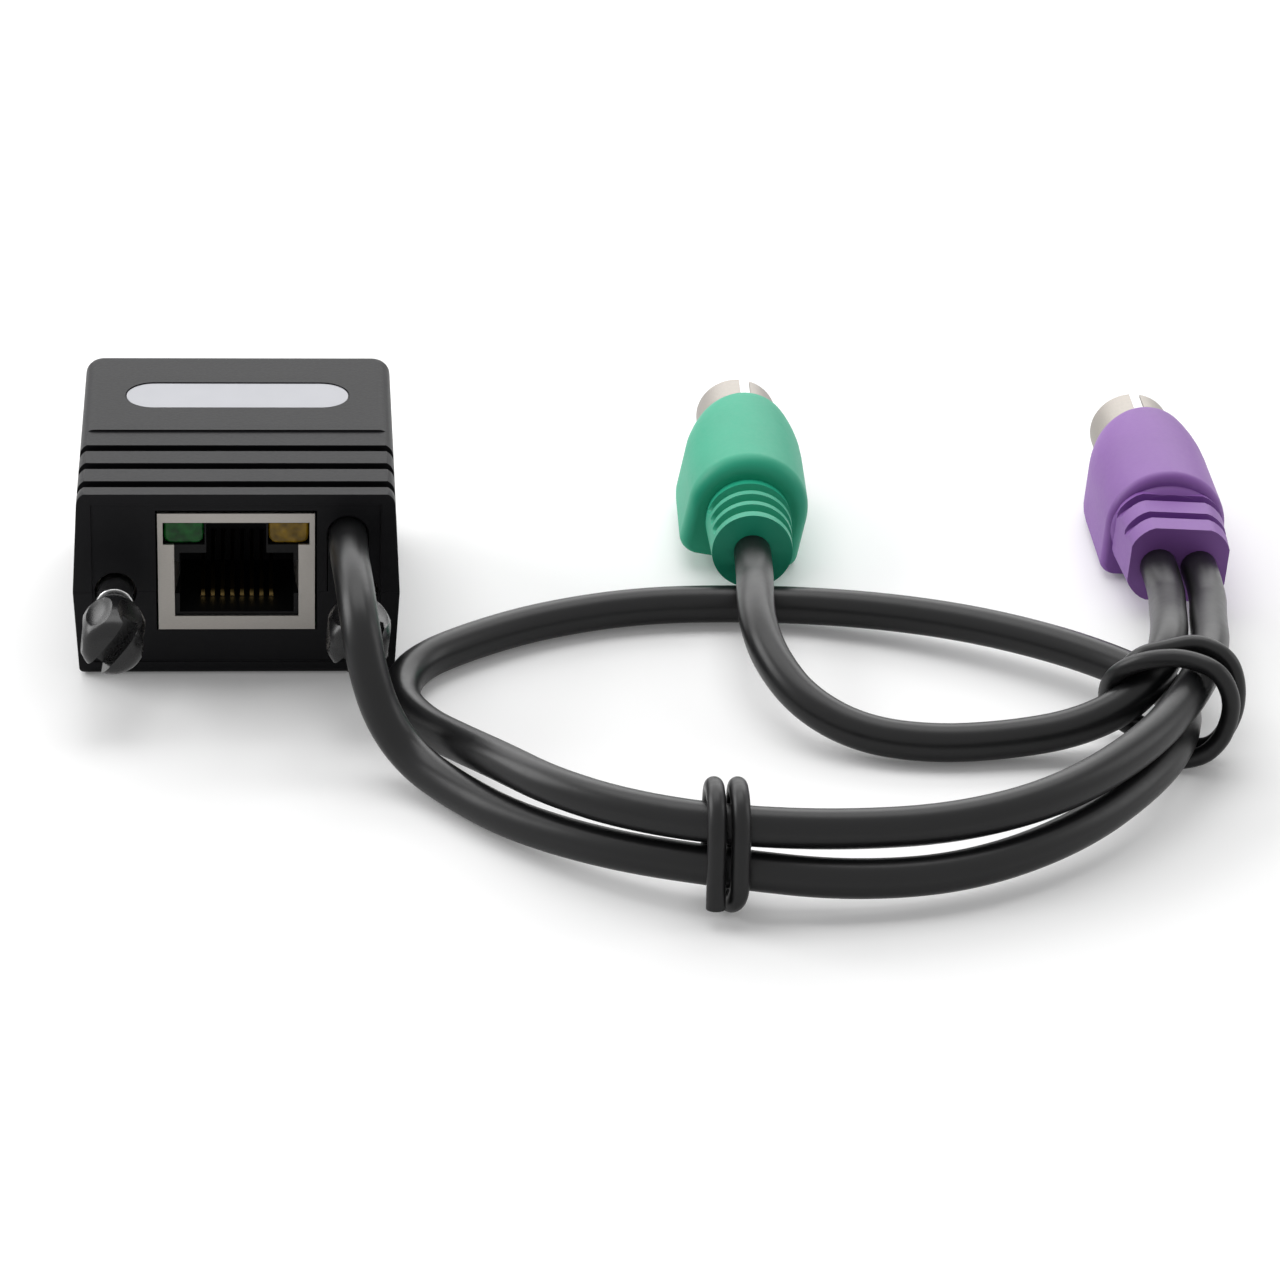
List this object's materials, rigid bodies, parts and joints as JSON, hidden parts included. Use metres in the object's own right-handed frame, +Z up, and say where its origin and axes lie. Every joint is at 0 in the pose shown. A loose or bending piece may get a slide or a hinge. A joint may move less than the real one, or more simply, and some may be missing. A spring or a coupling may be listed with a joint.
{
  "type": "KVM adapter",
  "caption": "Inline keyboard, video and mouse adapter: black ridged housing with a network jack and video plug, looped cords to purple and green round plugs.",
  "frame": {"origin": "under the middle of the housing with its thumbscrews and video plug, on the surface it stands on", "axes": "+Z up, +Y from the network jack to the video plug, +X to the side where the cords lie"},
  "size_m": [0.1246, 0.1, 0.0213],
  "materials": {
    "housing_plastic": "satin",
    "label_metal": "satin",
    "shield_metal": "brushed",
    "connector_plastic": "matte",
    "contact_gold": "polished",
    "lamp_green": "gloss",
    "lamp_amber": "gloss",
    "board_green": "matte",
    "chip_black": "matte",
    "plated_steel": "polished",
    "video_blue": "matte",
    "grip_plastic": "satin",
    "cord_rubber": "satin",
    "plug_purple": "satin",
    "plug_green": "satin",
    "tie_plastic": "satin"
  },
  "bodies": {
    "housing": {"circuit_board": "board_green", "controller_chip": "chip_black", "cord_clamp": "connector_plastic", "crystal": "plated_steel", "front_tie": "tie_plastic", "jack_contacts": "contact_gold", "jack_insert": "connector_plastic", "jack_shield": "shield_metal", "keyboard_plug_body": "plug_purple", "keyboard_plug_insert": "connector_plastic", "keyboard_plug_pins": "contact_gold", "keyboard_plug_shell": "plated_steel", "label_plate": "label_metal", "led_amber": "lamp_amber", "led_green": "lamp_green", "link_cord": "cord_rubber", "lower_shell": "housing_plastic", "main_cord": "cord_rubber", "mouse_plug_body": "plug_green", "mouse_plug_insert": "connector_plastic", "mouse_plug_pins": "contact_gold", "mouse_plug_shell": "plated_steel", "rear_tie": "tie_plastic", "upper_shell": "housing_plastic", "vga_insert": "video_blue", "vga_pins": "contact_gold", "vga_shell": "plated_steel"},
    "left_ring": {"screw_ring_left": "plated_steel"},
    "left_screw": {"screw_grip_left": "grip_plastic", "screw_shaft_left": "plated_steel"},
    "right_ring": {"screw_ring_right": "plated_steel"},
    "right_screw": {"screw_grip_right": "grip_plastic", "screw_shaft_right": "plated_steel"}
  },
  "joints": [
    {"name": "left_screw_slide", "type": "slide", "parent": "housing", "child": "left_ring", "axis": [0, -1, 0], "range_m": [0, 0.002]},
    {"name": "left_screw_turn", "type": "hinge", "parent": "left_ring", "child": "left_screw", "pos_m": [-0.0125, -0.01355, 0.00972], "axis": [0, 1, 0], "continuous": true},
    {"name": "right_screw_slide", "type": "slide", "parent": "housing", "child": "right_ring", "axis": [0, -1, 0], "range_m": [0, 0.002]},
    {"name": "right_screw_turn", "type": "hinge", "parent": "right_ring", "child": "right_screw", "pos_m": [0.0125, -0.01355, 0.00972], "axis": [0, 1, 0], "continuous": true}
  ]
}
